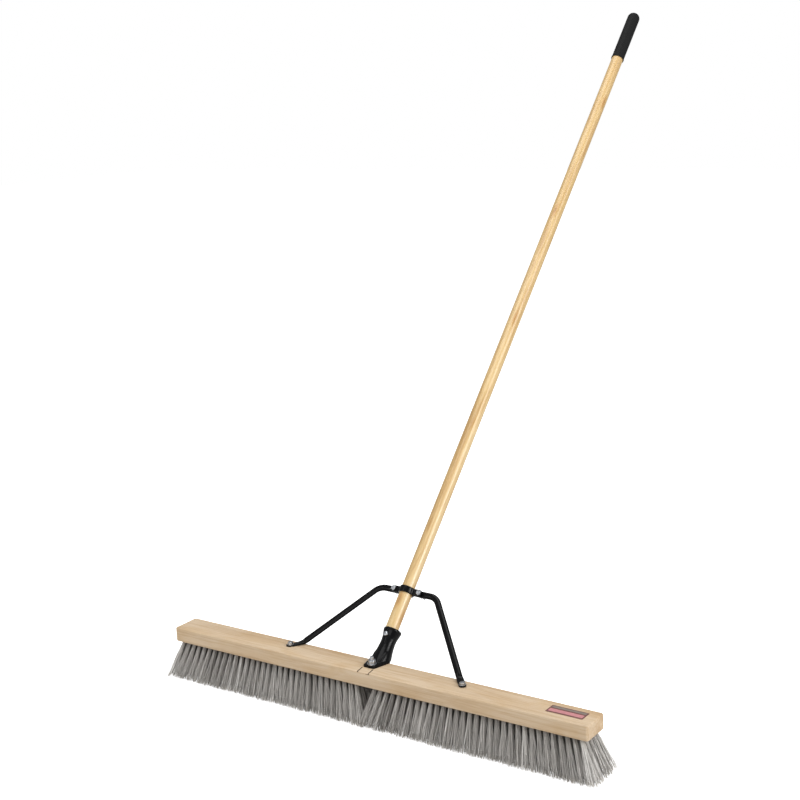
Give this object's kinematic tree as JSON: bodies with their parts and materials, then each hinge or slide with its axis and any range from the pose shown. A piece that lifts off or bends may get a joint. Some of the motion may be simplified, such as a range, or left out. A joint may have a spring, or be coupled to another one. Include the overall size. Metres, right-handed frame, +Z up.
{
  "type": "push broom",
  "caption": "Wide push broom: wooden block with fanned bristle tufts, steel socket bracket and clamped brace, long round wooden handle with a moulded end grip.",
  "frame": {"origin": "centre of the flat plane of the bristle tips, which is the floor it sweeps, under the middle of the block", "axes": "+X along the block, +Y to the side the handle leans to, +Z up"},
  "size_m": [0.9404, 1.1735, 1.2747],
  "materials": {
    "block_wood": "smooth sanded hardwood, unvarnished, soft straight grain along the block",
    "bristle_fibre": "grey flagged synthetic filaments",
    "plated_steel": "bright zinc plating",
    "black_paint": "gloss black enamel",
    "label_film": "printed film, blank",
    "handle_wood": "clear-lacquered hardwood with long streaked grain",
    "grip_rubber": "matte, finely textured"
  },
  "bodies": {
    "head": {"block": "block_wood", "tufts_left_row1": "bristle_fibre", "tufts_left_row2": "bristle_fibre", "tufts_left_row3": "bristle_fibre", "tufts_left_row4": "bristle_fibre", "tufts_left_row5": "bristle_fibre", "tufts_right_row1": "bristle_fibre", "tufts_right_row2": "bristle_fibre", "tufts_right_row3": "bristle_fibre", "tufts_right_row4": "bristle_fibre", "tufts_right_row5": "bristle_fibre", "tuft_staples": "plated_steel", "bracket": "black_paint", "bracket_bolt": "plated_steel", "bracket_washer": "plated_steel", "bracket_nut": "plated_steel", "collar_screw": "plated_steel", "brace": "black_paint", "clamp_strap": "black_paint", "clamp_bolts": "plated_steel", "clamp_washers": "plated_steel", "clamp_nuts": "plated_steel", "foot_screws": "plated_steel", "foot_washers": "plated_steel", "label": "label_film"},
    "handle": {"handle": "handle_wood", "grip": "grip_rubber"}
  },
  "joints": [
    {"name": "handle_pull_out", "type": "slide", "parent": "head", "child": "handle", "axis": [0, 0.6858, 0.7278], "range_m": [0, 0.1]}
  ]
}
